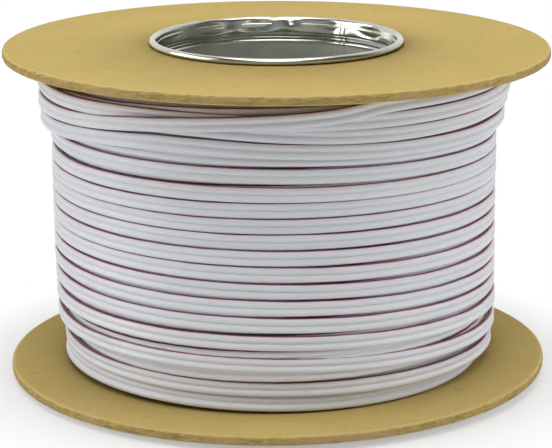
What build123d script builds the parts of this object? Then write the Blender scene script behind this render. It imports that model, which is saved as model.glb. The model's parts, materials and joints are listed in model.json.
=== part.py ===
"""Reel of flat twin cable: two board flanges clamped on a beaded tinplate core, with the cable wound between them.

Millimetres, +Z up along the reel's axis. The reel stands on the flat crest of its lower rim, at z = 0.
"""

import os

from build123d import *

# Board flanges
flange_diameter = 180.0
flange_thickness = 3.1
flange_spacing = 101.9
hole_clearance = 0.2

# Tinplate core
core_bore = 78.0
sheet_thickness = 0.3
rim_width = 2.7
rim_rise = 2.2
rim_slope = 1.0
bead_depth = 1.5
bead_height = 3.0

# Flat twin cable
cable_width = 5.2
turn_groove = 1.0

# Winding: a tight main layer, loose turns at the foot and part of one more layer at the top
winding_diameter = 147.4
winding_clearance = 0.3
foot_height = 27.2
foot_drop = 3.9
top_height = 22.1
top_rise = 3.9

# Share of the drop or the rise that each loose turn has, counted from its board
foot_drop_shares = (1.0, 0.6, 0.15, 0.03)
top_rise_shares = (0.95, 1.0, 0.5)

# Heights along the axis
lower_board_bottom = rim_rise
lower_board_top = lower_board_bottom + flange_thickness
upper_board_bottom = lower_board_top + flange_spacing
middle = (lower_board_top + upper_board_bottom) / 2

# Radii of the core
bore_radius = core_bore / 2
tube_radius = bore_radius + sheet_thickness
rim_radius = tube_radius + rim_width
hole_radius = tube_radius + hole_clearance

# The reel's half section, with heights measured from the middle of the reel
section = Plane.XZ.shift_origin((0, 0, middle))
board_inside = flange_spacing / 2
board_outside = board_inside + flange_thickness
bead_end = board_inside - bead_height

os.makedirs("parts", exist_ok=True)


# Lower flange, a ring punched from board
with BuildPart() as lower_flange:
    with BuildSketch(Plane.XY.offset(lower_board_bottom)):
        Circle(flange_diameter / 2)
        Circle(hole_radius, mode=Mode.SUBTRACT)
    extrude(amount=flange_thickness)

lower_flange.part.label = "lower_flange"
export_step(lower_flange.part, "parts/lower_flange.step")


# Upper flange, the same ring at the other end
with BuildPart() as upper_flange:
    with BuildSketch(Plane.XY.offset(upper_board_bottom)):
        Circle(flange_diameter / 2)
        Circle(hole_radius, mode=Mode.SUBTRACT)
    extrude(amount=flange_thickness)

upper_flange.part.label = "upper_flange"
export_step(upper_flange.part, "parts/upper_flange.step")


# Core tube, one sheet with a bead under each board and a rim rolled over it
rim_crest = board_outside + rim_rise
bead_middle = board_inside - bead_height / 2

with BuildPart() as core_tube:
    with BuildSketch(section):
        with BuildLine():
            Polyline(
                (bore_radius, 0),
                (bore_radius, bead_end),
                (bore_radius + bead_depth, bead_middle),
                (bore_radius, board_inside),
                (bore_radius, rim_crest),
                (rim_radius - rim_slope, rim_crest),
                (rim_radius, board_outside),
                (tube_radius, board_outside),
                (tube_radius, board_inside),
                (tube_radius + bead_depth, bead_middle),
                (tube_radius, bead_end),
                (tube_radius, 0),
                close=True,
            )
        make_face()
        mirror(about=Plane.XZ)
    revolve(axis=Axis.Z)

core_tube.part.label = "core_tube"
export_step(core_tube.part, "parts/core_tube.step")


# Cable winding, one ridge of the section for each turn that shows
foot_turns = len(foot_drop_shares)
top_turns = len(top_rise_shares)
main_height = flange_spacing - foot_height - top_height
main_turns = int(main_height // cable_width)
main_radius = winding_diameter / 2
winding_bore_radius = tube_radius + winding_clearance
bore_mouth_radius = winding_bore_radius + 2 * bead_depth

# Grooves between the turns, from board to board, and the crown of each turn
foot_grooves = [turn * foot_height / foot_turns for turn in range(foot_turns)]
main_grooves = [foot_height + turn * main_height / main_turns for turn in range(main_turns)]
top_grooves = [flange_spacing - turn * top_height / top_turns for turn in range(top_turns, -1, -1)]
grooves = foot_grooves + main_grooves + top_grooves
crowns = (
    [main_radius - foot_drop * share for share in foot_drop_shares]
    + [main_radius] * main_turns
    + [main_radius + top_rise * share for share in reversed(top_rise_shares)]
)

# Outer edge of the section: the first and last turns lie flat on the boards, with half a ridge each
outer_edge = [(crowns[0], -board_inside)]
for lower_crown, groove, upper_crown, next_groove in zip(crowns, grooves[1:], crowns[1:], grooves[2:]):
    outer_edge.append((min(lower_crown, upper_crown) - turn_groove, groove - board_inside))
    outer_edge.append((upper_crown, (groove + next_groove) / 2 - board_inside))
outer_edge[-1] = (crowns[-1], board_inside)

with BuildPart() as cable_winding:
    with BuildSketch(section):
        with BuildLine():
            Polyline(
                (winding_bore_radius, -bead_end),
                (bore_mouth_radius, -board_inside),
                *outer_edge,
                (bore_mouth_radius, board_inside),
                (winding_bore_radius, bead_end),
                close=True,
            )
        make_face()
    revolve(axis=Axis.Z)

cable_winding.part.label = "cable_winding"
export_step(cable_winding.part, "parts/cable_winding.step")
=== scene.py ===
"""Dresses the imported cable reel: hardboard flanges, a tinplate core and the wound twin cable.

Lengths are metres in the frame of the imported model. Angles run round the reel from its front
towards its right-hand side, in degrees, so 180 is the back.
"""

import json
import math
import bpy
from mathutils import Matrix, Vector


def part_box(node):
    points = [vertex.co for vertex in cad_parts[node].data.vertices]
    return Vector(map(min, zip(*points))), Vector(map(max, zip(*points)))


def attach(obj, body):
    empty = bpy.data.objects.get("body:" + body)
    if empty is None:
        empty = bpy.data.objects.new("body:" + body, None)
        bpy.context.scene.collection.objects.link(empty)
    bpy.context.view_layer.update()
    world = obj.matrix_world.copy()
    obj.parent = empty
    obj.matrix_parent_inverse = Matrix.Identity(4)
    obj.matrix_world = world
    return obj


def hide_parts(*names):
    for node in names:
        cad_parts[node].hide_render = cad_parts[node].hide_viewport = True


bl_info = {
    "name": "Cable Reel Dressing",
    "version": (1, 0, 0),
    "blender": (4, 5, 0),
    "location": "View3D > Sidebar > Reel",
    "description": "Hardboard flanges, tinplate core and wound twin cable for the packed reel",
    "category": "Object",
}

import bpy
import numpy as np
from bpy.props import FloatProperty, FloatVectorProperty, IntProperty, PointerProperty
from bpy.types import Operator, Panel, PropertyGroup
from mathutils import Euler, Matrix, Vector

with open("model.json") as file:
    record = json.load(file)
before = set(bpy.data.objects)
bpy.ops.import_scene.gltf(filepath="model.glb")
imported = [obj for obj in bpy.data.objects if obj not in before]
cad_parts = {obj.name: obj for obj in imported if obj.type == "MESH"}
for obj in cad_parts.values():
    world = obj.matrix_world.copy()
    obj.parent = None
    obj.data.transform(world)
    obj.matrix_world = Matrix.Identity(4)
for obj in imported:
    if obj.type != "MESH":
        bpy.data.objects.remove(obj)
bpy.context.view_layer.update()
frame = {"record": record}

MM = 0.001
FULL_TURN = 360.0

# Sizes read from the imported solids
lower_low, lower_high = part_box("lower_flange")
upper_low, upper_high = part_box("upper_flange")
core_low, core_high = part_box("core_tube")
bore_mount = next(mount for mount in frame["record"]["mounts"] if mount["kind"] == "bore")
BORE_RADIUS = bore_mount["dims"]["r_mm"] * MM
BOARD_THICKNESS = lower_high.z - lower_low.z
WINDING_BASE = lower_high.z
WINDING_TOP = upper_low.z
CORE_MIDDLE = (core_low.z + core_high.z) / 2

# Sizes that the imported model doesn't list
SHEET_THICKNESS = 0.3 * MM
HOLE_CLEARANCE = 0.2 * MM

# Route of the top turns from the loose end: angle, height over the lower flange
# and crown radius in millimetres, and lean of the upper edge outwards in degrees. The end is tucked
# under the turns that follow, and the first turn climbs across them at the front.
TOP_ROUTE = (
    (-425, 93.3, 73.4, 4), (-410, 94.2, 74.0, 6), (-395, 94.9, 74.4, 8), (-380, 95.4, 74.6, 8),
    (-365, 95.8, 74.6, 8), (-352, 96.2, 74.5, 8), (-344, 96.3, 74.3, 6), (-336, 95.2, 74.0, 2),
    (-325, 92.4, 73.8, 0), (-312, 90.8, 74.0, 0), (-300, 90.0, 74.6, 0), (-285, 89.6, 75.2, 0),
    (-270, 89.4, 75.8, 0), (-240, 89.5, 76.8, 0), (-205, 89.7, 77.4, 0), (-160, 89.7, 77.4, 0),
    (-120, 89.5, 77.5, 0), (-100, 89.3, 77.7, 0), (-85, 89.0, 77.8, 0), (-72, 88.9, 77.7, 0),
    (-61, 89.2, 77.6, 6), (-52, 89.7, 77.6, 8), (-46, 90.2, 77.6, 10), (-39, 91.0, 77.7, 10),
    (-33, 91.7, 77.8, 10), (-26, 92.4, 77.9, 10), (-17, 93.2, 78.1, 10), (-8, 94.0, 78.2, 9),
    (1, 94.7, 78.4, 8), (8, 95.3, 78.5, 6), (16, 96.2, 78.5, 2), (20, 97.0, 78.5, -2),
    (24, 98.0, 78.5, -6), (30, 98.5, 78.5, -5), (48, 98.8, 78.4, -4), (62, 98.9, 78.2, -2),
    (90, 99.0, 77.9, 0), (150, 99.3, 77.2, 0), (210, 99.3, 77.0, 0), (250, 98.6, 77.2, 0),
    (272, 97.0, 77.6, 0), (284, 95.6, 78.1, 0), (296, 94.7, 78.4, 4), (308, 94.5, 78.2, 8),
    (318, 94.5, 77.5, 10), (330, 94.4, 76.2, 8), (345, 94.1, 76.2, -4), (360, 93.8, 76.8, -8),
    (377, 93.6, 77.1, 0), (390, 93.45, 77.4, 4), (401, 93.45, 77.5, 6), (419, 93.65, 77.7, 6),
    (434, 94.0, 77.9, -6), (450, 94.4, 77.9, -4), (480, 94.6, 77.6, -2), (540, 94.6, 77.2, 0),
    (600, 93.8, 76.0, 0), (650, 92.4, 75.2, -4), (687, 91.6, 75.2, -8), (703, 91.2, 75.0, -10),
    (720, 90.1, 75.3, -4), (738, 89.0, 75.9, 6), (751, 88.6, 76.2, 10), (761, 88.55, 76.4, 12),
    (779, 88.9, 76.8, 12), (790, 89.4, 77.2, 10), (810, 89.9, 77.4, 4), (835, 90.3, 76.6, 0),
    (860, 89.6, 75.4, 0), (920, 87.2, 75.8, 0), (960, 85.2, 76.6, 0), (980, 84.2, 76.9, 0),
    (1000, 83.6, 77.0, 0), (1012, 83.7, 77.0, 0), (1022, 84.2, 76.9, 0), (1032, 85.0, 76.6, 0),
    (1042, 85.8, 76.2, -2), (1052, 86.3, 75.9, -4), (1063, 86.1, 75.7, -4), (1072, 85.6, 75.5, -4),
    (1081, 85.0, 75.3, -4), (1096, 84.2, 75.2, -4), (1105, 83.7, 75.2, -4), (1121, 83.3, 75.4, -2),
    (1132, 83.2, 75.8, 0), (1150, 83.3, 76.2, 0), (1170, 83.5, 76.5, 0), (1200, 83.8, 76.0, 0),
    (1250, 83.6, 75.0, 0), (1300, 83.2, 74.3, 0), (1340, 83.1, 74.1, 0), (1375, 83.2, 74.1, 0),
    (1400, 83.1, 74.0, 0),
)
# Turns of the main layer where they pass the front, from the top: height and crown radius in
# millimetres, lean in degrees, how much steeper than the mean the cable falls there, and how much
# further out and how much lower in millimetres it lies at the sides.
MAIN_LAY = (
    (82.4, 73.9, 0, 1.0, 0.1, 0.1), (76.95, 73.8, 0, 0.2, 0, 0.95), (71.2, 73.8, 0, -0.6, 0, 0.6),
    (66.2, 73.8, 0, -0.7, 0, 0.3), (61.4, 73.8, 0, -0.6, 0, 0), (56.4, 73.8, 0, -0.4, 0, 0),
    (51.2, 73.8, 0, -0.1, 0, 0), (46.2, 73.8, 0, 0.5, 0, 0.4), (40.8, 73.8, 0, 1.0, 0, 0.65),
    (35.35, 73.8, 0, 0.8, 0, 0.75), (29.9, 73.7, 0, 0.6, 0, 1.0), (24.1, 73.6, 1, 0.1, 0.1, 1.1),
    (16.6, 72.7, 2, 0.0, 0.9, 1.3), (8.15, 70.6, 1, -1.0, 1.4, 0.2), (3.1, 69.6, -12, 0.3, 1.4, 0),
)
MAIN_START = 1440.0
# Crown radius of the layer beneath at the front against height, both in millimetres, and how much
# further in it lies at the back.
UNDER_LAY = (
    (0, 66.6), (3, 67.0), (6, 68.3), (8.3, 68.7), (12.3, 69.3), (13.6, 71.9), (16.2, 71.0),
    (18.9, 72.3), (20.5, 71.8), (23.4, 72.3), (26, 72.2), (32, 72.5), (83, 72.5), (90, 72.4),
    (96, 69.4), (102, 66.4),
)
UNDER_BACK = 1.6
# Share of the sideways bulge at each height in millimetres.
SIDE_SHARES = ((0, -0.4), (10, -0.4), (16, 0.2), (25, 0.5), (40, 0.75), (60, 1.0))
# Dents in the core's upper collar: angle, then distance under the top of the rim, half width and
# depth in millimetres.
DENTS = ((172.5, 4.0, 2.6, 0.75), (185.0, 4.4, 2.4, 0.35), (204.0, 4.6, 2.0, 0.4))


class FlangeSettings(PropertyGroup):
    """Sizes and colours of the two hardboard flanges."""

    radius: FloatProperty(
        name="Radius", description="Outer radius of a flange", default=lower_high.x, unit="LENGTH")
    hole_radius: FloatProperty(
        name="Hole Radius", description="Radius of the hole round the core's neck",
        default=BORE_RADIUS + SHEET_THICKNESS + HOLE_CLEARANCE, unit="LENGTH")
    arris: FloatProperty(
        name="Arris", description="Rounding where a face meets the sawn edge",
        default=0.9 * MM, unit="LENGTH")
    fray: FloatProperty(
        name="Fray", description="Depth of the torn fibres along the sawn edge",
        default=0.22 * MM, unit="LENGTH")
    upper_slope: FloatProperty(
        name="Upper Slope", description="Slight fall of the upper flange towards the right",
        default=-0.0028, unit="ROTATION")
    lower_slope: FloatProperty(
        name="Lower Slope", description="Slight rise of the lower flange towards the right",
        default=0.0088, unit="ROTATION")
    face_colour: FloatVectorProperty(
        name="Face", description="Smooth face of the hardboard", subtype="COLOR",
        default=(0.55, 0.412, 0.152), min=0, max=1)
    edge_colour: FloatVectorProperty(
        name="Edge", description="Sawn edge of the hardboard", subtype="COLOR",
        default=(0.36, 0.265, 0.09), min=0, max=1)


class CoreSettings(PropertyGroup):
    """Sizes and finish of the tinplate core."""

    bore: FloatProperty(
        name="Bore", description="Inner radius of the core", default=BORE_RADIUS, unit="LENGTH")
    sheet: FloatProperty(
        name="Sheet", description="Thickness of the tinplate", default=SHEET_THICKNESS, unit="LENGTH")
    rim_radius: FloatProperty(
        name="Rim Radius", description="Outer radius of the curled rim",
        default=core_high.x, unit="LENGTH")
    rim_rise: FloatProperty(
        name="Rim Rise", description="Height of the curled rim over the flange",
        default=core_high.z - upper_high.z, unit="LENGTH")
    flare: FloatProperty(
        name="Flare", description="How far the neck opens towards its rim", default=0.6 * MM,
        unit="LENGTH")
    bead_depth: FloatProperty(
        name="Bead Depth", description="How far the locking bead swells outwards",
        default=1.3 * MM, unit="LENGTH")
    bead_height: FloatProperty(
        name="Bead Height", description="Height of the locking bead", default=3.0 * MM,
        unit="LENGTH")
    waviness: FloatProperty(
        name="Waviness", description="Uneven hammering of the collar", default=0.24 * MM,
        unit="LENGTH")
    seam_angle: FloatProperty(
        name="Seam Angle", description="Where the lock seam runs down the core, from the front",
        default=math.radians(146), subtype="ANGLE")
    seam_width: FloatProperty(
        name="Seam Width", description="Width of the folded lock seam", default=4.6 * MM,
        unit="LENGTH")
    seam_rise: FloatProperty(
        name="Seam Rise", description="How far the lock seam stands into the bore",
        default=0.18 * MM, unit="LENGTH")
    tin_colour: FloatVectorProperty(
        name="Tin", description="Bright tinplate", subtype="COLOR",
        default=(0.63, 0.64, 0.57), min=0, max=1)


class CableSettings(PropertyGroup):
    """Sizes and colours of the twin cable."""

    width: FloatProperty(
        name="Width", description="Width over both cores", default=4.85 * MM, unit="LENGTH")
    groove: FloatProperty(
        name="Groove", description="Depth of the groove between the cores", default=0.8 * MM,
        unit="LENGTH")
    fullness: FloatProperty(
        name="Fullness", description="How square the cores are pressed, where 2 is round",
        default=2.0, min=2, max=4)
    under_pitch: FloatProperty(
        name="Under Pitch", description="Rise of the layer beneath in one turn",
        default=5.26 * MM, unit="LENGTH")
    sideways: FloatProperty(
        name="Sideways", description="How far the winding bulges towards the left",
        default=0.95 * MM, unit="LENGTH")
    outer_steps: IntProperty(
        name="Outer Steps", description="Sections in a turn that shows", default=160, min=24)
    under_steps: IntProperty(
        name="Under Steps", description="Sections in a turn of the layer beneath", default=54,
        min=24)
    seed: IntProperty(
        name="Seed", description="Start of the small wanderings of the turns", default=7)
    sheath_colour: FloatVectorProperty(
        name="Sheath", description="White sheath", subtype="COLOR",
        default=(0.725, 0.735, 0.775), min=0, max=1)
    tracer_colour: FloatVectorProperty(
        name="Tracer", description="Red line along one edge", subtype="COLOR",
        default=(0.24, 0.07, 0.1), min=0, max=1)


class StageSettings(PropertyGroup):
    """Floor, lamps and camera."""

    floor_colour: FloatVectorProperty(
        name="Floor", description="Pale floor", subtype="COLOR", default=(0.78, 0.78, 0.78),
        min=0, max=1)
    sky_level: FloatProperty(
        name="Sky Level", description="Light from all round", default=0.1, min=0)
    sky_front: FloatProperty(
        name="Sky Front", description="Light of the low band on the camera's side",
        default=0.32, min=0)
    sky_behind: FloatProperty(
        name="Sky Behind", description="Pale backdrop behind the reel, as reflections see it",
        default=0.85, min=0)
    white_from: FloatProperty(
        name="White From", description="Distance at which the floor starts to turn white",
        default=0.06, unit="LENGTH")
    white_by: FloatProperty(
        name="White By", description="Distance at which the floor is white", default=0.12,
        unit="LENGTH")
    left_power: FloatProperty(
        name="Left Power", description="Soft lamp at the left", default=12.2, unit="POWER")
    right_power: FloatProperty(
        name="Right Power", description="Soft lamp at the right", default=11.2, unit="POWER")
    top_power: FloatProperty(
        name="Top Power", description="Soft lamp overhead", default=7.7, unit="POWER")
    front_power: FloatProperty(
        name="Front Power", description="Soft lamp high at the front", default=2.9, unit="POWER")
    camera_place: FloatVectorProperty(
        name="Camera Place", description="Where the camera stands", subtype="TRANSLATION",
        default=(-0.35 * MM, -734.35 * MM, 239.4 * MM))
    camera_dip: FloatProperty(
        name="Camera Dip", description="How far the camera looks down",
        default=math.radians(14.563), subtype="ANGLE")
    camera_roll: FloatProperty(
        name="Camera Roll", description="Slight roll of the camera",
        default=math.radians(-0.219), subtype="ANGLE")
    lens: FloatProperty(
        name="Lens", description="Focal length in millimetres on a sensor 36 mm wide",
        default=147.01, min=1)


# Mesh helpers

# Sine waves that add up to one seeded wandering
WAVES = 6


def ring_grid_faces(rings, across):
    """Quads over rings of points, closed round the reel and closed across."""
    ring, point = np.meshgrid(np.arange(rings), np.arange(across), indexing="ij")
    next_ring, next_point = (ring + 1) % rings, (point + 1) % across
    return np.stack((ring * across + point, next_ring * across + point,
                     next_ring * across + next_point, ring * across + next_point),
                    axis=-1).reshape(-1, 4)


def turned(radius, height, angles):
    """Points at radius and height, which may differ round the reel, for each angle in degrees."""
    turn = np.radians(angles)[:, None]
    radius, height = np.broadcast_arrays(radius, height)
    return np.stack((radius * np.sin(turn), -radius * np.cos(turn), height), axis=-1)


def faces_out(points, faces):
    """The faces, turned over where they would enclose a negative volume."""
    flat = points.reshape(-1, 3)
    a, b, c, d = (flat[faces[:, corner]] for corner in range(4))
    volume = np.einsum("ij,ij->", a, np.cross(b, c)) + np.einsum("ij,ij->", a, np.cross(c, d))
    return faces if volume > 0 else faces[:, ::-1]


def add_piece(name, points, faces, materials, face_materials=None):
    """A smooth mesh object that rides on the reel and takes its finish from a slot."""
    mesh = bpy.data.meshes.new(name)
    mesh.from_pydata(points.reshape(-1, 3).tolist(), [], faces)
    for material in materials:
        mesh.materials.append(material)
    if face_materials is not None:
        mesh.polygons.foreach_set("material_index", face_materials)
    mesh.shade_smooth()
    mesh.update()
    piece = bpy.data.objects.new(name, mesh)
    bpy.context.scene.collection.objects.link(piece)
    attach(piece, "root")
    return piece


def fade(distance, reach):
    """0 up to no distance, rising to 1 at the reach and staying there."""
    return np.clip(distance / reach, 0, 1)


def smooth_through(places, knots, values):
    """Cubic curve through given values, each knot's slope taken from its neighbours."""
    knots, values = np.asarray(knots, float), np.asarray(values, float)
    slopes = np.gradient(values, knots)
    first = np.clip(np.searchsorted(knots, places) - 1, 0, len(knots) - 2)
    gap = knots[first + 1] - knots[first]
    t = np.clip((places - knots[first]) / gap, 0, 1)
    return ((1 + 2 * t) * (1 - t) ** 2 * values[first] + t * (1 - t) ** 2 * gap * slopes[first]
            + t * t * (3 - 2 * t) * values[first + 1] - t * t * (1 - t) * gap * slopes[first + 1])


def wander(places, size, shortest, longest, random):
    """Seeded smooth wandering of about that size, as a few long waves."""
    periods = random.uniform(shortest, longest, WAVES)
    phases = random.uniform(0, math.tau, WAVES)
    total = sum(np.sin(math.tau * places / period + phase)
                for period, phase in zip(periods, phases))
    return size * total / math.sqrt(WAVES)


def ring_wander(angles, size, fewest, most, random):
    """Seeded wandering that closes round the reel, as waves that go round a whole number of times."""
    counts = random.integers(fewest, most, WAVES)
    phases = random.uniform(0, math.tau, WAVES)
    total = sum(np.sin(np.radians(angles) * count + phase)
                for count, phase in zip(counts, phases))
    return size * total / math.sqrt(WAVES)


# Material helpers

def feed(tree, node, values):
    """Sets a node's sockets, by name or place, each to a value or to another node's socket."""
    for socket, value in values.items():
        if isinstance(value, bpy.types.NodeSocket):
            tree.links.new(value, node.inputs[socket])
        else:
            node.inputs[socket].default_value = value


def add_node(tree, kind, inputs=None, **settings):
    """A shader node with its settings and what its sockets are fed with."""
    node = tree.nodes.new(kind)
    for name, value in settings.items():
        setattr(node, name, value)
    feed(tree, node, inputs or {})
    return node


def new_material(name):
    """An empty node material with a Principled shader, and its node tree."""
    material = bpy.data.materials.new(name)
    material.use_nodes = True
    tree = material.node_tree
    return material, tree, tree.nodes["Principled BSDF"]


def new_group(name, inputs, outputs):
    """A shader node group with named sockets: its tree, what it is given and its output node."""
    group = bpy.data.node_groups.new(name, "ShaderNodeTree")
    for socket, kind, value in inputs:
        made = group.interface.new_socket(name=socket, in_out="INPUT", socket_type=kind)
        if value is not None:
            made.default_value = value
    for socket in outputs:
        group.interface.new_socket(name=socket, in_out="OUTPUT", socket_type="NodeSocketFloat")
    given = group.nodes.new("NodeGroupInput")
    return group, given.outputs, group.nodes.new("NodeGroupOutput")


def place_group(tree, name, vector, inputs):
    """A shared group placed in a material with its own values; returns its outputs."""
    node = tree.nodes.new("ShaderNodeGroup")
    node.node_tree = bpy.data.node_groups[name]
    feed(tree, node, {"Vector": vector, **inputs})
    return node.outputs


def mix_colours(tree, share, first, second):
    """Mixes two colours by a share, each a colour or a socket, and returns the result's socket."""
    first, second = (colour if isinstance(colour, bpy.types.NodeSocket) else (*colour, 1.0)
                     for colour in (first, second))
    mix = add_node(tree, "ShaderNodeMix", data_type="RGBA")
    feed(tree, mix, {"Factor": share, 6: first, 7: second})
    return mix.outputs[2]


def spread(tree, value, given, wanted=(0.0, 1.0)):
    """Maps a value from one range to another and returns the result's socket."""
    node = add_node(tree, "ShaderNodeMapRange", {
        "Value": value, "From Min": given[0], "From Max": given[1],
        "To Min": wanted[0], "To Max": wanted[1]})
    return node.outputs["Result"]


def compute(tree, operation, *values):
    """A sum on sockets or numbers; returns the result's socket."""
    node = add_node(tree, "ShaderNodeMath", dict(enumerate(values)), operation=operation)
    return node.outputs[0]


def stretched(tree, vector, scale):
    """The vector scaled along its three axes."""
    node = add_node(tree, "ShaderNodeVectorMath", {0: vector, 1: scale}, operation="MULTIPLY")
    return node.outputs["Vector"]


def split(tree, vector):
    """The vector's X, Y and Z as sockets."""
    return add_node(tree, "ShaderNodeSeparateXYZ", {"Vector": vector}).outputs


def noise(tree, vector, inputs):
    """A noise texture read at the vector; returns its value's socket."""
    return add_node(tree, "ShaderNodeTexNoise", {"Vector": vector, **inputs}).outputs["Fac"]


def bump(tree, height, strength, distance):
    """A bump from a height; returns the socket of its normal."""
    node = add_node(tree, "ShaderNodeBump", {
        "Height": height, "Strength": strength, "Distance": distance})
    return node.outputs["Normal"]


def shade(colour, factor):
    """A colour made darker or lighter."""
    return tuple(min(1.0, part * factor) for part in colour)


# Finishes

# Shares of a board's own colour that its blotches, fibres and flecks have, and that the painted highlight
# along its arrises has
FACE_DEEP, FACE_PALE, FACE_FIBRE, FACE_FLECK = 0.96, 1.03, 0.78, 0.5
EDGE_DEEP, EDGE_PALE, EDGE_FLECK, ARRIS_HIGHLIGHT = 0.7, 1.45, 0.42, 1.06
TORN_COLOUR = (0.46, 0.31, 0.15)
# Shares of the tin's and the sheath's own colour that smudges have
TIN_SMUDGE, SHEATH_SMUDGE = 0.82, 0.9
# Length of the tube over which its dull finish ends at a bead
DULL_FADE = 1.0 * MM
# Where the tracer and the blush beside it fade out, as shares of the way round the section
TRACER_SHARES = (0.04, 0.0625)
BLUSH_SHARES = (0.05, 0.16)
BLUSH_COLOUR = (0.62, 0.36, 0.39)


def make_fibre_group():
    """Pressed wood fibres, for the boards' faces and edges."""
    group, given, out = new_group(
        "Pressed Fibres",
        (("Vector", "NodeSocketVector", None), ("Size", "NodeSocketFloat", 900.0),
         ("Fleck Size", "NodeSocketFloat", 160.0)),
        ("Fibre", "Blotch", "Fleck"))
    fibre = noise(group, given["Vector"], {
        "Scale": given["Size"], "Detail": 6.0, "Roughness": 0.68, "Distortion": 1.4})
    blotch = noise(group, given["Vector"], {"Scale": 42.0, "Detail": 3.0, "Roughness": 0.6})
    fleck = noise(group, given["Vector"], {
        "Scale": given["Fleck Size"], "Detail": 2.0, "Roughness": 0.5, "Distortion": 0.6})
    feed(group, out, {
        "Fibre": fibre, "Blotch": blotch, "Fleck": spread(group, fleck, (0.66, 0.78))})


def make_handling_group():
    """Faint smudges from handling, for the tin and the sheath."""
    group, given, out = new_group(
        "Handling Marks",
        (("Vector", "NodeSocketVector", None), ("Size", "NodeSocketFloat", 60.0)), ("Smudge",))
    smudge = noise(group, given["Vector"], {
        "Scale": given["Size"], "Detail": 4.0, "Roughness": 0.62, "Distortion": 0.4})
    feed(group, out, {"Smudge": spread(group, smudge, (0.35, 0.7))})


def board_face_material(flange):
    """Smooth hardboard face with pressed fibres, soft blotches and a few dark flecks."""
    material, tree, shader = new_material("hardboard_face")
    place = add_node(tree, "ShaderNodeTexCoord").outputs["Object"]
    board = place_group(tree, "Pressed Fibres", place, {"Size": 620.0, "Fleck Size": 210.0})
    colour = tuple(flange.face_colour)
    toned = mix_colours(tree, spread(tree, board["Blotch"], (0.3, 0.7)),
                        shade(colour, FACE_DEEP), shade(colour, FACE_PALE))
    fibred = mix_colours(tree, spread(tree, board["Fibre"], (0.35, 0.68), (0.0, 0.5)),
                         toned, shade(colour, FACE_FIBRE))
    flecked = mix_colours(tree, spread(tree, board["Fleck"], (0.0, 1.0), (0.0, 0.4)),
                          fibred, shade(colour, FACE_FLECK))
    feed(tree, shader, {
        "Base Color": flecked,
        "Roughness": spread(tree, board["Fibre"], (0.3, 0.7), (0.55, 0.72)),
        "Specular IOR Level": 0.0,
        "Normal": bump(tree, board["Fibre"], strength=0.35, distance=0.06 * MM)})
    return material


def board_edge_material(flange):
    """Sawn hardboard edge: torn fibres, darker than the face, with a painted highlight along its arrises
    in the face's colour made lighter.
    """
    material, tree, shader = new_material("hardboard_edge")
    place = add_node(tree, "ShaderNodeTexCoord").outputs["Object"]
    layered = stretched(tree, place, (1.5, 1.5, 4.4))
    board = place_group(tree, "Pressed Fibres", layered, {"Size": 150.0, "Fleck Size": 105.0})
    colour = tuple(flange.edge_colour)
    toned = mix_colours(tree, spread(tree, board["Fibre"], (0.34, 0.66)),
                        shade(colour, EDGE_DEEP), shade(colour, EDGE_PALE))
    patched = mix_colours(tree, spread(tree, board["Blotch"], (0.48, 0.62), (0.0, 0.7)),
                          toned, TORN_COLOUR)
    flecked = mix_colours(tree, spread(tree, board["Fleck"], (0.0, 1.0), (0.0, 0.8)),
                          patched, shade(colour, EDGE_FLECK))
    # Painted highlight: where the edge turns up or down at its arrises it takes the face's colour, made
    # lighter
    facing = split(tree, add_node(tree, "ShaderNodeNewGeometry").outputs["Normal"])
    upright = compute(tree, "ABSOLUTE", facing["Z"])
    highlighted = mix_colours(tree, spread(tree, upright, (0.25, 0.75), (0.0, 0.9)),
                       flecked, shade(flange.face_colour, ARRIS_HIGHLIGHT))
    feed(tree, shader, {
        "Base Color": highlighted, "Roughness": 0.85, "Specular IOR Level": 0.2,
        "Normal": bump(tree, board["Fibre"], strength=0.8, distance=0.25 * MM)})
    return material


def tin_material(core):
    """Bright tinplate with faint rolling lines and smudges, duller between the two beads."""
    material, tree, shader = new_material("bright_tinplate")
    place = add_node(tree, "ShaderNodeTexCoord").outputs["Object"]
    rolled = noise(tree, stretched(tree, place, (1.0, 1.0, 0.04)), {"Scale": 900.0, "Detail": 3.0})
    smudge = place_group(tree, "Handling Marks", place, {"Size": 70.0})["Smudge"]
    colour = tuple(core.tin_colour)
    off_middle = compute(tree, "SUBTRACT", split(tree, place)["Z"], CORE_MIDDLE)
    bead_end = (WINDING_TOP - WINDING_BASE) / 2 - core.bead_height
    dull = spread(tree, compute(tree, "ABSOLUTE", off_middle), (bead_end - DULL_FADE, bead_end),
                  (0.36, 0.0))
    feed(tree, shader, {
        "Base Color": mix_colours(tree, smudge, colour, shade(colour, TIN_SMUDGE)),
        "Metallic": 1.0,
        "Roughness": compute(tree, "ADD", spread(tree, smudge, (0.0, 1.0), (0.13, 0.26)), dull),
        "Normal": bump(tree, rolled, strength=0.25, distance=0.02 * MM)})
    return material


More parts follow.
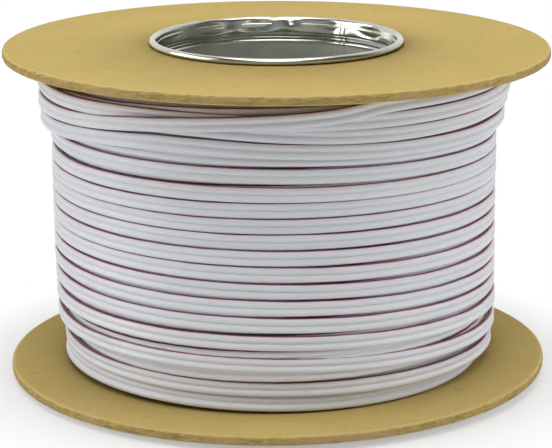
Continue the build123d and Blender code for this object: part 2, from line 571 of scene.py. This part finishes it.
def sheath_material(cable):
    """White sheath with drawn lines, a soft change of tone and a red tracer along one edge."""
    material, tree, shader = new_material("white_sheath")
    run = add_node(tree, "ShaderNodeUVMap", uv_map="run").outputs["UV"]
    ragged = noise(tree, stretched(tree, run, (55.0, 0.0, 0.0)), {"Scale": 1.0, "Detail": 2.0})
    side = compute(tree, "ADD", split(tree, run)["Y"],
                   spread(tree, ragged, (0.3, 0.7), (-0.012, 0.012)))
    upper_edge = section_shares(twin_section(cable))[UPPER_EDGE]
    off_edge = compute(tree, "ABSOLUTE", compute(tree, "SUBTRACT", side, upper_edge))
    tracer = spread(tree, off_edge, TRACER_SHARES, (1.0, 0.0))
    blush = spread(tree, off_edge, BLUSH_SHARES, (0.22, 0.0))
    smudge = place_group(tree, "Handling Marks", stretched(tree, run, (0.5, 0.12, 1.0)),
                         {"Size": 26.0})["Smudge"]
    colour = tuple(cable.sheath_colour)
    toned = mix_colours(tree, smudge, colour, shade(colour, SHEATH_SMUDGE))
    blushed = mix_colours(tree, blush, toned, BLUSH_COLOUR)
    drawn = noise(tree, stretched(tree, run, (90.0, 60.0, 0.0)), {"Scale": 1.0, "Detail": 3.0})
    feed(tree, shader, {
        "Base Color": mix_colours(tree, tracer, blushed, tuple(cable.tracer_colour)),
        "Roughness": spread(tree, smudge, (0.0, 1.0), (0.36, 0.5)),
        "Normal": bump(tree, drawn, strength=0.3, distance=0.03 * MM)})
    return material


# Flanges

FLANGE_STEPS = 720
FLANGE_SEED = 11
# Rows of points over the sawn edge, as shares of the board's thickness
EDGE_SHARES = (0.0, 0.025, 0.07, 0.14, 0.24, 0.38, 0.52, 0.66, 0.78, 0.87, 0.93, 0.975, 1.0)
# How far in from the edge the rings of points on a face lie
FACE_RINGS = (6.0 * MM, 2.5 * MM)
# Deepest tear, as a multiple of the usual one
DEEPEST_TEAR = 1.5


def make_flange(node, bottom, slope, flange, materials, random):
    """One hardboard disc with rounded arrises, a torn sawn edge and a slight slope."""
    angles = np.arange(FLANGE_STEPS) * FULL_TURN / FLANGE_STEPS
    shares = np.array(EDGE_SHARES)
    depth = np.minimum(shares, 1 - shares) * BOARD_THICKNESS / flange.arris
    rounding = flange.arris * (1 - np.sqrt(1 - np.clip(1 - depth, 0, 1) ** 2))
    torn = random.normal(size=(FLANGE_STEPS, len(shares)))
    torn = (np.roll(torn, 1, 0) + 2 * torn + np.roll(torn, -1, 0)) / 4
    torn = flange.fray * np.clip(np.abs(torn), 0, DEEPEST_TEAR) * (depth > 0)
    edge = flange.radius - rounding - torn
    inner = (flange.hole_radius, *(flange.radius - inset for inset in FACE_RINGS))
    flat = np.broadcast_to(np.array(inner), (FLANGE_STEPS, len(inner)))
    radius = np.concatenate((flat, edge, flat[:, ::-1]), axis=1)
    heights = bottom + BOARD_THICKNESS * np.concatenate(
        (np.zeros(len(inner)), shares, np.ones(len(inner))))
    points = turned(radius, heights, angles)
    points[..., 2] += slope * points[..., 0]
    across = points.shape[1]
    faces = faces_out(points, ring_grid_faces(FLANGE_STEPS, across))
    column = np.tile(np.arange(across), FLANGE_STEPS)
    on_edge = (column >= len(inner)) & (column < len(inner) + len(shares) - 1)
    piece = add_piece(node + "_board", points, faces.tolist(), materials,
                      on_edge.astype(np.int32))
    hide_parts(node)
    return piece


class REEL_OT_flanges(Operator):
    """Makes the two hardboard flanges"""

    bl_idname = "reel.flanges"
    bl_label = "Flanges"

    def execute(self, context):
        flange = context.scene.reel_flange
        materials = (board_face_material(flange), board_edge_material(flange))
        random = np.random.default_rng(FLANGE_SEED)
        make_flange("lower_flange", lower_low.z, flange.lower_slope, flange, materials, random)
        make_flange("upper_flange", upper_low.z, flange.upper_slope, flange, materials, random)
        return {"FINISHED"}


# Core

CORE_STEPS = 200
BEAD_POINTS = 13
# Rows of points on the tube, down from the upper bead
TUBE_ROWS = (12 * MM, 3 * MM, 1 * MM, 0.3 * MM)
# The curled rim: its middle and its lowest point over the board, and its points in degrees
CURL_LIFT = 0.9 * MM
CURL_SEAT = 0.03 * MM
CURL_ANGLES = np.linspace(171, 0, 13)
TUCK_ANGLES = (-25, -50, -75)
# The collar inside the rim, and the neck outside, which bends out under the curl
COLLAR_POINTS = 8
COLLAR_LIFT = 0.4 * MM
NECK_BEND = 0.3 * MM
NECK_FLARE = 0.1 * MM
# The lock seam: steps round it, width of its sides, its crease and where it ends under the rim
SEAM_STEP = 0.25 * MM
SEAM_SIDE = 0.9 * MM
CREASE_WIDTH = 0.35 * MM
CREASE_PLACE_SHARE = 0.1
CREASE_DEPTH_SHARE = 0.5
SEAM_END = 3.0 * MM
# Where the collar's waves fade, over the bead and under the rim, and how often they go round
WAVES_OVER_BEAD = 1.5 * MM
WAVES_UNDER_RIM = 2.0 * MM
FEWEST_WAVES, MOST_WAVES = 5, 20
COLLAR_SEED = 5
# What counts as the bore, beyond the depth of a bead
BORE_MARGIN = 0.1 * MM
# A kink in the rim at the back: angle and half width in degrees, its drop, and the height over the
# board from which it takes the rim
KINK_ANGLE, KINK_SPREAD = 181.0, 2.5
KINK_DROP = 0.35 * MM
KINK_FROM = 1.0 * MM


def core_section(core):
    """Half of the core's section, from the middle up the bore, over the rim and down outside."""
    top, neck = upper_high.z, upper_low.z
    swell = np.linspace(0, 1, BEAD_POINTS)
    bead = core.bead_depth * np.sin(math.pi * swell) ** 2
    bead_z = neck - core.bead_height * (1 - swell)
    rim_middle = (core.bore + core.flare + core.rim_radius) / 2
    rim_reach = (core.rim_radius - core.bore - core.flare) / 2
    centre = top + CURL_LIFT
    over, under = np.radians(CURL_ANGLES), np.radians(TUCK_ANGLES)
    curl_r = rim_middle + rim_reach * np.cos(over)
    curl_z = centre + (core.rim_rise - CURL_LIFT) * np.sin(over)
    tuck_r = rim_middle + rim_reach * np.cos(under)
    tuck_z = centre + (CURL_LIFT - CURL_SEAT) * np.sin(under)
    collar_r = core.bore + core.flare * np.linspace(0, 1, COLLAR_POINTS)
    collar_z = np.linspace(neck, top, COLLAR_POINTS) + COLLAR_LIFT
    inside = np.concatenate((
        [[core.bore, CORE_MIDDLE]] + [[core.bore, bead_z[0] - down] for down in TUBE_ROWS],
        np.stack((core.bore + bead, bead_z), 1), np.stack((collar_r, collar_z), 1),
        np.stack((curl_r, curl_z), 1), np.stack((tuck_r, tuck_z), 1)))
    outer = core.bore + core.sheet
    outside = np.concatenate((
        [[outer + NECK_FLARE, top + CURL_SEAT], [outer, top - NECK_BEND]],
        np.stack((outer + bead, bead_z), 1)[::-1],
        [[outer, CORE_MIDDLE]]))
    return inside, outside


def core_angles(core):
    """Angles of the core's rings: even steps, and fine ones at the lock seam and the dents."""
    even = np.arange(CORE_STEPS) * FULL_TURN / CORE_STEPS
    fine = np.degrees(np.arange(-core.seam_width, core.seam_width, SEAM_STEP) / core.bore)
    places = [math.degrees(core.seam_angle)] + [dent[0] for dent in DENTS]
    angles = np.concatenate([even] + [place + fine for place in places])
    return np.unique(np.round(angles % FULL_TURN, 3))


def lock_seam(core, angles):
    """How far the lock seam stands into the bore at each angle, less the crease along it."""
    across = np.radians(angles - math.degrees(core.seam_angle)) * core.bore
    fold = fade(core.seam_width / 2 - np.abs(across), SEAM_SIDE)
    crease = np.exp(-((across + core.seam_width * CREASE_PLACE_SHARE) / CREASE_WIDTH) ** 2)
    return core.seam_rise * (fold - CREASE_DEPTH_SHARE * crease)


def make_core(core, material):
    """The tinplate core: tube, curled rims, locking beads, lock seam and the collar's dents."""
    inside, outside = core_section(core)
    mirrored, lift = np.array((1.0, -1.0)), np.array((0.0, 2 * CORE_MIDDLE))
    low_outside = outside[::-1][1:] * mirrored + lift
    low_inside = inside[::-1][:-1] * mirrored + lift
    section = np.concatenate((inside, outside, low_outside, low_inside))
    level = section[:, 1]
    under_rim = core_high.z - level
    in_bore = section[:, 0] < core.bore + core.bead_depth + BORE_MARGIN
    in_bore[len(inside):-len(low_inside)] = False
    angles = core_angles(core)
    radius = section[:, 0] - lock_seam(core, angles)[:, None] * (in_bore * fade(under_rim, SEAM_END))
    for angle, drop, half_width, depth in DENTS:
        along = np.radians(angles - angle) * core.bore / (half_width * MM)
        down = (under_rim - drop * MM) / (half_width * MM)
        radius -= depth * MM * np.exp(-along[:, None] ** 2 - down ** 2) * in_bore
    waves = ring_wander(angles, core.waviness, FEWEST_WAVES, MOST_WAVES,
                        np.random.default_rng(COLLAR_SEED))
    in_collar = in_bore * fade(level - upper_low.z, WAVES_OVER_BEAD) * fade(under_rim, WAVES_UNDER_RIM)
    radius += waves[:, None] * in_collar
    kink = np.exp(-((angles - KINK_ANGLE) / KINK_SPREAD) ** 2)
    height = level - KINK_DROP * kink[:, None] * (level > upper_high.z + KINK_FROM)
    points = turned(radius, height, angles)
    faces = faces_out(points, ring_grid_faces(len(angles), len(section)))
    piece = add_piece("tinplate_core", points, faces.tolist(), [material])
    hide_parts("core_tube")
    return piece


class REEL_OT_core(Operator):
    """Makes the tinplate core"""

    bl_idname = "reel.core"
    bl_label = "Core"

    def execute(self, context):
        core = context.scene.reel_core
        make_core(core, tin_material(core))
        return {"FINISHED"}


# Cable

# Points over the outer face of one core of the cable, in degrees from the cable's edge
OUTER_ARC = (0, 16, 34, 54, 78, 100, 122, 142)
UPPER_EDGE = 2 * len(OUTER_ARC)
# The hidden inner face, as shares of a core's radius
SHOULDER_SHARES = (1.7, -0.75)
WEB_SHARE = 0.2
# Where the cable steps in to the layer beneath and how long it stays flat there, in turns, how much
# lower it then lies in millimetres, and the knots of its route in each turn from there on
STEP_IN_SHARE = 0.5
FLAT_SHARE = 0.487
STEP_DROP = 0.1
CLIMB_KNOTS = 4
# Small wanderings of the cable: size, in millimetres or degrees, and shortest and longest wave in degrees
HEIGHT_WANDER = (0.07, 50, 330)
CROWN_WANDER = (0.1, 35, 400)
LEAN_WANDER = (2.2, 60, 500)
# The ring for the deeper layers, and its clearance from the layer over it, the core and the flanges
PACK_STEPS = 96
PACK_CLEARANCE = 0.3 * MM
PACK_CORE_CLEARANCE = 1.8 * MM
PACK_END_CLEARANCE = 1.2 * MM


def twin_section(cable):
    """The cable's section as (across, out) points, from its lower edge over the outer face."""
    core = cable.width / 4
    web = core - cable.groove
    angle = np.radians(OUTER_ARC)
    power = 2 / cable.fullness
    along = core + core * np.sign(np.cos(angle)) * np.abs(np.cos(angle)) ** power
    out = core * np.abs(np.sin(angle)) ** power
    out = np.where(along < core, np.maximum(out, web), out)
    upper = np.stack((along, out), 1)
    outer_face = np.concatenate((upper * (-1, 1), [[0, web]], upper[::-1]))
    inner = np.array((np.multiply(core, SHOULDER_SHARES), (core, -core), (core * WEB_SHARE, -web)))
    return np.concatenate((outer_face, inner, inner[::-1] * (-1, 1)))


def section_shares(section):
    """How far round the section each of its points lies, from 0 to 1, with the start repeated."""
    edges = np.linalg.norm(np.diff(section, axis=0, append=section[:1]), axis=1)
    return np.concatenate(([0], np.cumsum(edges))) / edges.sum()


def cable_route(cable):
    """Angle, height, crown radius and lean along the cable, from the loose end inwards."""
    top = np.array(TOP_ROUTE, float)
    lay = np.array(MAIN_LAY, float)
    lay_angles = MAIN_START + FULL_TURN * np.arange(len(lay))
    step_in = lay_angles[-1] + FULL_TURN * STEP_IN_SHARE
    low = lay[-1, 0] - STEP_DROP
    pitch = cable.under_pitch / MM
    top_climb = WINDING_TOP / MM - WINDING_BASE / MM - 2 * low
    run = np.arange(0, top_climb + pitch * (1 + STEP_IN_SHARE + FLAT_SHARE), pitch / CLIMB_KNOTS)
    climb_angles = step_in + run / pitch * FULL_TURN
    climb = np.clip(run - pitch * FLAT_SHARE, 0, top_climb)
    climb_crown = np.interp(low + climb, *zip(*UNDER_LAY))
    climb_crown -= UNDER_BACK * (1 - np.cos(np.radians(climb_angles))) / 2
    knots = np.concatenate((top[:, 0], lay_angles, climb_angles))
    height = np.concatenate((top[:, 1], lay[:, 0], low + climb))
    crown = np.concatenate((top[:, 2], lay[:, 1], climb_crown))
    lean = np.concatenate((top[:, 3], lay[:, 2], np.zeros(len(climb))))
    angles = np.concatenate((
        np.arange(knots[0], step_in, FULL_TURN / cable.outer_steps),
        np.arange(step_in, knots[-1], FULL_TURN / cable.under_steps)))
    steeper, swell, sag = (np.interp(angles, lay_angles, column, left=0, right=0)
                           for column in lay[:, 3:].T)
    to_right = np.sin(np.radians(angles))
    random = np.random.default_rng(cable.seed)
    height = smooth_through(angles, knots, height) + wander(angles, *HEIGHT_WANDER, random)
    height -= steeper * pitch / math.tau * to_right + sag * to_right ** 2
    crown = smooth_through(angles, knots, crown) + wander(angles, *CROWN_WANDER, random)
    crown += swell * to_right ** 2
    lean = smooth_through(angles, knots, lean) + wander(angles, *LEAN_WANDER, random)
    return angles, height * MM, crown * MM, np.radians(lean)


def sideways(cable, height):
    """How far the winding lies towards the left at a height over the lower flange."""
    return cable.sideways * np.interp(height / MM, *zip(*SIDE_SHARES))


def lay_cable(cable, flange, section):
    """Points of the cable's section at each step of its route, kept between the flanges."""
    angles, height, crown, lean = cable_route(cable)
    across, out = section.T
    lean_cos, lean_sin = np.cos(lean)[:, None], np.sin(lean)[:, None]
    rise = across * lean_cos - out * lean_sin
    reach = out * lean_cos + across * lean_sin
    radius = (crown - cable.width / 4)[:, None] + reach
    points = turned(radius, WINDING_BASE + height[:, None] + rise, angles)
    points[..., 0] -= sideways(cable, height)[:, None]
    floor = WINDING_BASE + flange.lower_slope * points[..., 0]
    points[..., 2] += np.clip((floor - points[..., 2]).max(axis=1, keepdims=True), 0, None)
    ceiling = WINDING_TOP + flange.upper_slope * points[..., 0]
    points[..., 2] -= np.clip((points[..., 2] - ceiling).max(axis=1, keepdims=True), 0, None)
    return points


def deep_layers(cable):
    """Points and faces of a closed ring that stands for the layers under the ones that show."""
    heights, crowns = np.array(UNDER_LAY).T * MM
    outer = crowns - cable.width / 2 - PACK_CLEARANCE - UNDER_BACK * MM
    inner = np.full(2, BORE_RADIUS + PACK_CORE_CLEARANCE)
    heights = np.clip(heights, PACK_END_CLEARANCE, WINDING_TOP - WINDING_BASE - PACK_END_CLEARANCE)
    section_z = WINDING_BASE + np.concatenate((heights, heights[[-1, 0]]))
    angles = np.arange(PACK_STEPS) * FULL_TURN / PACK_STEPS
    points = turned(np.concatenate((outer, inner)), section_z[None, :].repeat(PACK_STEPS, 0), angles)
    points[..., 0] -= sideways(cable, points[..., 2] - WINDING_BASE)
    return points.reshape(-1, 3), faces_out(points, ring_grid_faces(PACK_STEPS, points.shape[1]))


def run_corners(points, section, faces, caps):
    """For each corner of the cable: metres along it, and the share of the way round its section."""
    around = len(section)
    steps = np.linalg.norm(np.diff(points.mean(axis=1), axis=0), axis=1)
    length = np.concatenate(([0], np.cumsum(steps)))
    corner = np.concatenate((faces.ravel(), *caps))
    run = np.stack((length[corner // around], section_shares(section)[corner % around]), 1)
    place = faces % around
    at_close = (place.max(axis=1) == around - 1) & (place.min(axis=1) == 0)
    run[:faces.size, 1] += ((place == 0) & at_close[:, None]).ravel()
    return run


def make_cable(cable, flange, material):
    """The twin cable, laid along its whole route, and the solid pack of the deeper layers."""
    section = twin_section(cable)
    points = lay_cable(cable, flange, section)
    rings, around = points.shape[:2]
    faces = faces_out(points, ring_grid_faces(rings, around)[:(rings - 1) * around])
    caps = [list(range(around))[::-1], list(range((rings - 1) * around, rings * around))]
    pack_points, pack_faces = deep_layers(cable)
    all_points = np.concatenate((points.reshape(-1, 3), pack_points))
    all_faces = faces.tolist() + caps + (pack_faces + rings * around).tolist()
    piece = add_piece("twin_cable", all_points, all_faces, [material])
    run = np.concatenate((run_corners(points, section, faces, caps), np.zeros((pack_faces.size, 2))))
    piece.data.uv_layers.new(name="run").data.foreach_set("uv", run.ravel())
    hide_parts("cable_winding")
    return piece


class REEL_OT_cable(Operator):
    """Winds the twin cable on the core"""

    bl_idname = "reel.cable"
    bl_label = "Cable"

    def execute(self, context):
        cable = context.scene.reel_cable
        make_cable(cable, context.scene.reel_flange, sheath_material(cable))
        return {"FINISHED"}


# Stage

FLOOR_HALF = 4.0
# Where the sky's bands begin and end along a direction: towards the camera, upwards and to the back
FRONT_BAND = (-0.2, -0.8)
LOW_BAND = (0.15, 0.5)
BACKDROP_BAND = (0.0, 0.6)
# Soft lamps: place, width, the setting that holds the power, and whether the tin mirrors them
LAMPS = {
    "left_lamp": ((-1.4, -0.1, 0.55), 1.2, "left_power", True),
    "right_lamp": ((1.4, -0.1, 0.55), 1.2, "right_power", False),
    "top_lamp": ((0.0, -0.05, 1.2), 0.9, "top_power", True),
    "front_lamp": ((0.0, -0.6, 0.95), 0.6, "front_power", True),
}
# The camera's sensor in millimetres and the range that it sees
SENSOR_WIDTH = 36.0
NEAREST, FURTHEST = 0.01, 50.0


def seen_rays(tree):
    """1 for what is seen straight, in a reflection or through glass, and 0 for other light."""
    path = add_node(tree, "ShaderNodeLightPath").outputs
    seen = compute(tree, "MAXIMUM", path["Is Camera Ray"], path["Is Glossy Ray"])
    return compute(tree, "MAXIMUM", seen, path["Is Transmission Ray"])


def floor_material(stage):
    """Plain and pale near the reel, whose shadow it takes, and white further off."""
    material, tree, shader = new_material("pale_floor")
    feed(tree, shader, {
        "Base Color": (*stage.floor_colour, 1), "Roughness": 0.9, "Specular IOR Level": 0.0})
    place = add_node(tree, "ShaderNodeTexCoord").outputs["Object"]
    away = add_node(tree, "ShaderNodeVectorMath", {0: place}, operation="LENGTH").outputs["Value"]
    far = spread(tree, away, (stage.white_from, stage.white_by))
    white = add_node(tree, "ShaderNodeEmission", {"Color": (1, 1, 1, 1), "Strength": 1.0})
    mix = add_node(tree, "ShaderNodeMixShader", {
        "Fac": compute(tree, "MULTIPLY", seen_rays(tree), far),
        1: shader.outputs["BSDF"], 2: white.outputs["Emission"]})
    feed(tree, tree.nodes["Material Output"], {"Surface": mix.outputs["Shader"]})
    return material


def make_floor(stage):
    """A wide flat floor under the reel."""
    half = FLOOR_HALF
    mesh = bpy.data.meshes.new("floor")
    mesh.from_pydata([(-half, -half, 0), (half, -half, 0), (half, half, 0), (-half, half, 0)], [],
                     [(0, 1, 2, 3)])
    mesh.materials.append(floor_material(stage))
    floor = bpy.data.objects.new("floor", mesh)
    bpy.context.scene.collection.objects.link(floor)


def make_sky(stage):
    """Plain even light, a pale band low on the camera's side and a pale backdrop in reflections."""
    world = bpy.data.worlds.new("studio")
    world.use_nodes = True
    tree = world.node_tree
    toward = split(tree, add_node(tree, "ShaderNodeTexCoord").outputs["Generated"])
    front = spread(tree, toward["Y"], FRONT_BAND, (0.0, stage.sky_front))
    low = spread(tree, toward["Z"], LOW_BAND, (1.0, 0.0))
    level = compute(tree, "MULTIPLY_ADD", front, low, stage.sky_level)
    backdrop = spread(tree, toward["Y"], BACKDROP_BAND, (0.0, stage.sky_behind))
    behind = compute(tree, "MULTIPLY", backdrop, seen_rays(tree))
    feed(tree, tree.nodes["Background"], {
        "Color": (1, 1, 1, 1), "Strength": compute(tree, "ADD", level, behind)})
    bpy.context.scene.world = world


def make_lamp(name, place, size, power, mirrored):
    """A square soft lamp that looks at the middle of the reel."""
    data = bpy.data.lights.new(name, "AREA")
    data.shape, data.size, data.energy = "SQUARE", size, power
    lamp = bpy.data.objects.new(name, data)
    lamp.location = place
    aim = Vector((0, 0, CORE_MIDDLE)) - Vector(place)
    lamp.rotation_euler = aim.to_track_quat("-Z", "Y").to_euler()
    lamp.visible_camera = False
    lamp.visible_glossy = mirrored
    bpy.context.scene.collection.objects.link(lamp)


def make_camera(stage):
    """The camera at the photograph's angle."""
    data = bpy.data.cameras.new("camera")
    data.sensor_width, data.lens = SENSOR_WIDTH, stage.lens
    data.clip_start, data.clip_end = NEAREST, FURTHEST
    camera = bpy.data.objects.new("camera", data)
    tilt = Euler((math.pi / 2 - stage.camera_dip, 0, 0)).to_matrix()
    roll = Matrix.Rotation(stage.camera_roll, 3, "Z")
    camera.matrix_world = Matrix.Translation(stage.camera_place) @ (tilt @ roll).to_4x4()
    bpy.context.scene.collection.objects.link(camera)
    bpy.context.scene.camera = camera


class REEL_OT_stage(Operator):
    """Sets the floor, lamps, sky and camera"""

    bl_idname = "reel.stage"
    bl_label = "Stage"

    def execute(self, context):
        stage = context.scene.reel_stage
        context.scene.view_settings.view_transform = "Standard"
        make_floor(stage)
        make_sky(stage)
        for name, (place, size, power, mirrored) in LAMPS.items():
            make_lamp(name, place, size, getattr(stage, power), mirrored)
        make_camera(stage)
        return {"FINISHED"}


class REEL_PT_dressing(Panel):
    """Lists the reel's pieces and their settings"""

    bl_idname = "REEL_PT_dressing"
    bl_label = "Cable Reel"
    bl_space_type = "VIEW_3D"
    bl_region_type = "UI"
    bl_category = "Reel"

    def draw(self, context):
        for operator, settings in zip(OPERATORS, SETTINGS):
            box = self.layout.box()
            box.operator(operator.bl_idname)
            values = getattr(context.scene, settings)
            for name in SETTINGS[settings].__annotations__:
                box.prop(values, name)


SETTINGS = {"reel_flange": FlangeSettings, "reel_core": CoreSettings,
            "reel_cable": CableSettings, "reel_stage": StageSettings}
OPERATORS = (REEL_OT_flanges, REEL_OT_core, REEL_OT_cable, REEL_OT_stage)


def register():
    """Registers the settings, the operators and the panel."""
    for name, kind in SETTINGS.items():
        bpy.utils.register_class(kind)
        setattr(bpy.types.Scene, name, PointerProperty(type=kind))
    for kind in (*OPERATORS, REEL_PT_dressing):
        bpy.utils.register_class(kind)


def unregister():
    """Takes the panel, the operators and the settings away again."""
    for kind in (REEL_PT_dressing, *reversed(OPERATORS)):
        bpy.utils.unregister_class(kind)
    for name, kind in reversed(SETTINGS.items()):
        delattr(bpy.types.Scene, name)
        bpy.utils.unregister_class(kind)


def main():
    """Builds the whole dressing."""
    register()
    make_fibre_group()
    make_handling_group()
    bpy.ops.reel.flanges()
    bpy.ops.reel.core()
    bpy.ops.reel.cable()
    bpy.ops.reel.stage()


if __name__ == "__main__":
    main()
